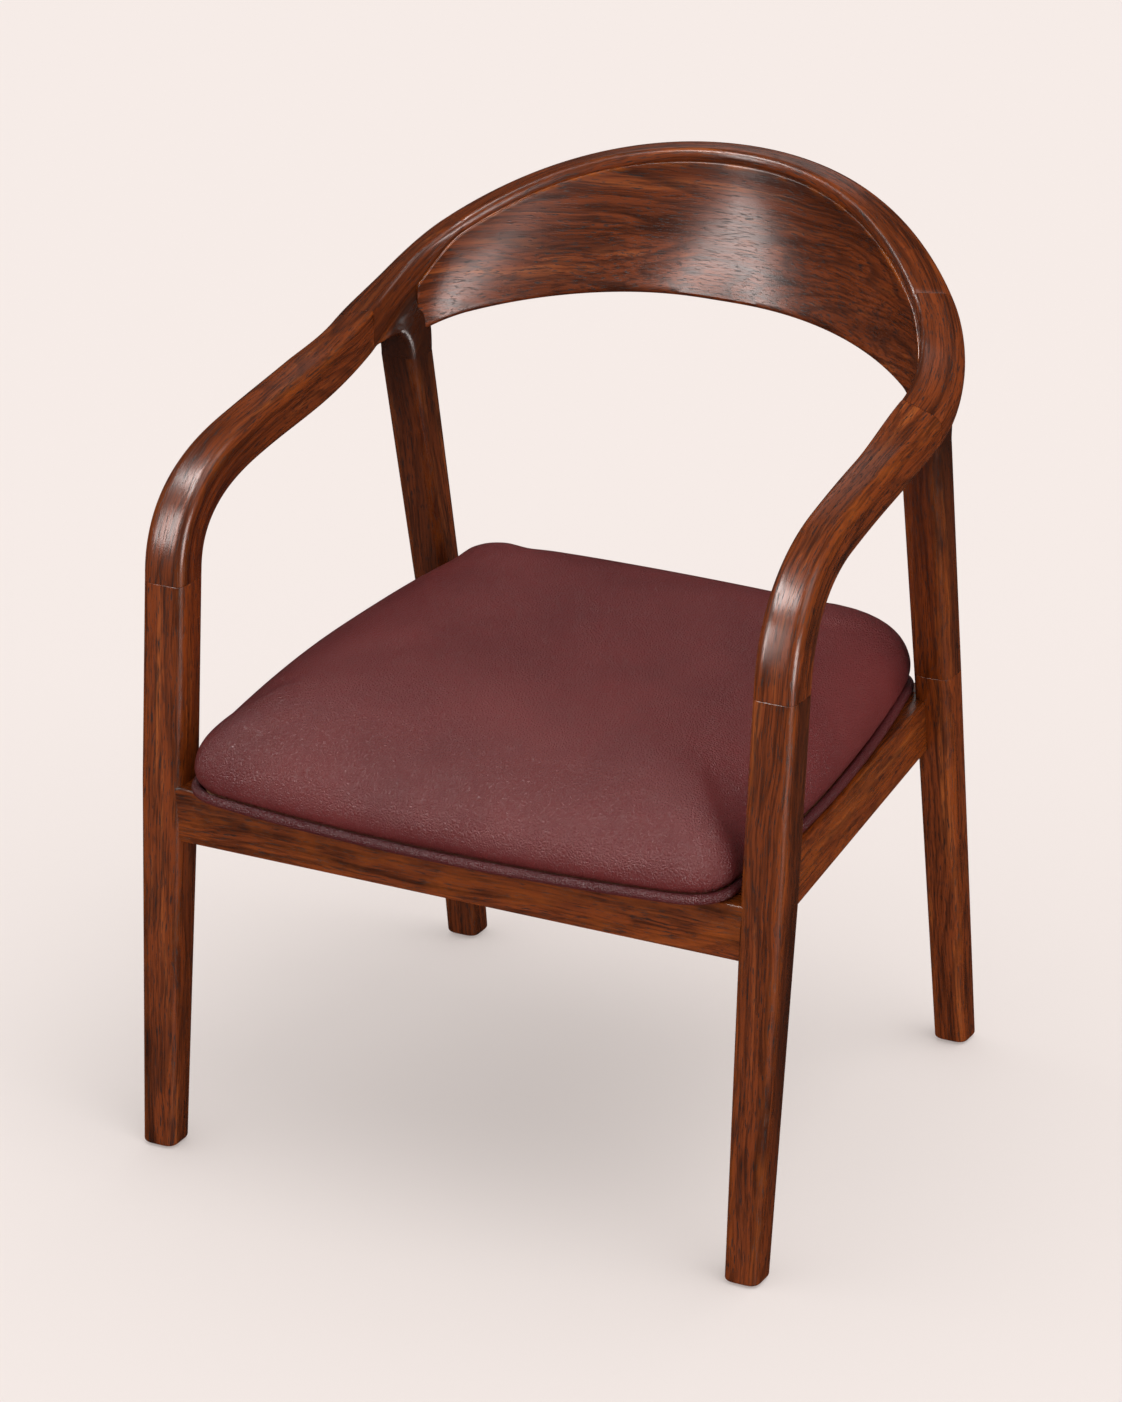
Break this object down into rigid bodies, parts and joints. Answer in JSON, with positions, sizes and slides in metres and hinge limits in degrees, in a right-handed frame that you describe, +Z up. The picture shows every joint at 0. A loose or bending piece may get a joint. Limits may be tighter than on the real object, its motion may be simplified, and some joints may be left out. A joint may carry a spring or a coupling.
{
  "type": "restaurant armchair",
  "caption": "Solid-wood restaurant armchair: arms flow from the front legs through carved corners into a curved backrest, with a piped leather seat cushion.",
  "frame": {"origin": "on the floor, under the middle of the chair's overall width and depth", "axes": "+X across the chair, to the right seen from the front; +Y to the back; +Z up"},
  "size_m": [0.6252, 0.6247, 0.807],
  "materials": {
    "walnut_frame": "satin lacquer",
    "walnut_rail": "satin lacquer",
    "walnut_panel": "satin lacquer",
    "pale_wood": "raw",
    "leather": "semi-gloss, pebbled",
    "foam": "open-cell foam",
    "dust_cloth": "non-woven cloth",
    "glide_plastic": "matte",
    "steel": "zinc plated"
  },
  "bodies": {
    "root": {"front_leg_left": "walnut_frame", "front_leg_right": "walnut_frame", "rear_leg_left": "walnut_frame", "rear_leg_right": "walnut_frame", "rear_post_left": "walnut_frame", "rear_post_right": "walnut_frame", "arm_left": "walnut_rail", "arm_right": "walnut_rail", "rear_corner_left": "walnut_rail", "rear_corner_right": "walnut_rail", "crest_rail": "walnut_rail", "back_panel": "walnut_panel", "front_rail": "walnut_frame", "rear_rail": "walnut_frame", "side_rail_left": "walnut_frame", "side_rail_right": "walnut_frame", "corner_block_front_left": "pale_wood", "corner_block_front_right": "pale_wood", "corner_block_rear_left": "pale_wood", "corner_block_rear_right": "pale_wood", "seat_board": "pale_wood", "seat_foam": "foam", "seat_cover": "leather", "seat_piping": "leather", "dust_cover": "dust_cloth", "glide_front_left": "glide_plastic", "glide_front_right": "glide_plastic", "glide_rear_left": "glide_plastic", "glide_rear_right": "glide_plastic", "arm_leg_dowels": "pale_wood", "arm_corner_dowels": "pale_wood", "crest_end_dowels": "pale_wood", "crest_panel_dowels": "pale_wood", "panel_end_dowels": "pale_wood", "post_dowels": "pale_wood", "block_screws": "steel", "seat_screws": "steel"}
  },
  "joints": []
}
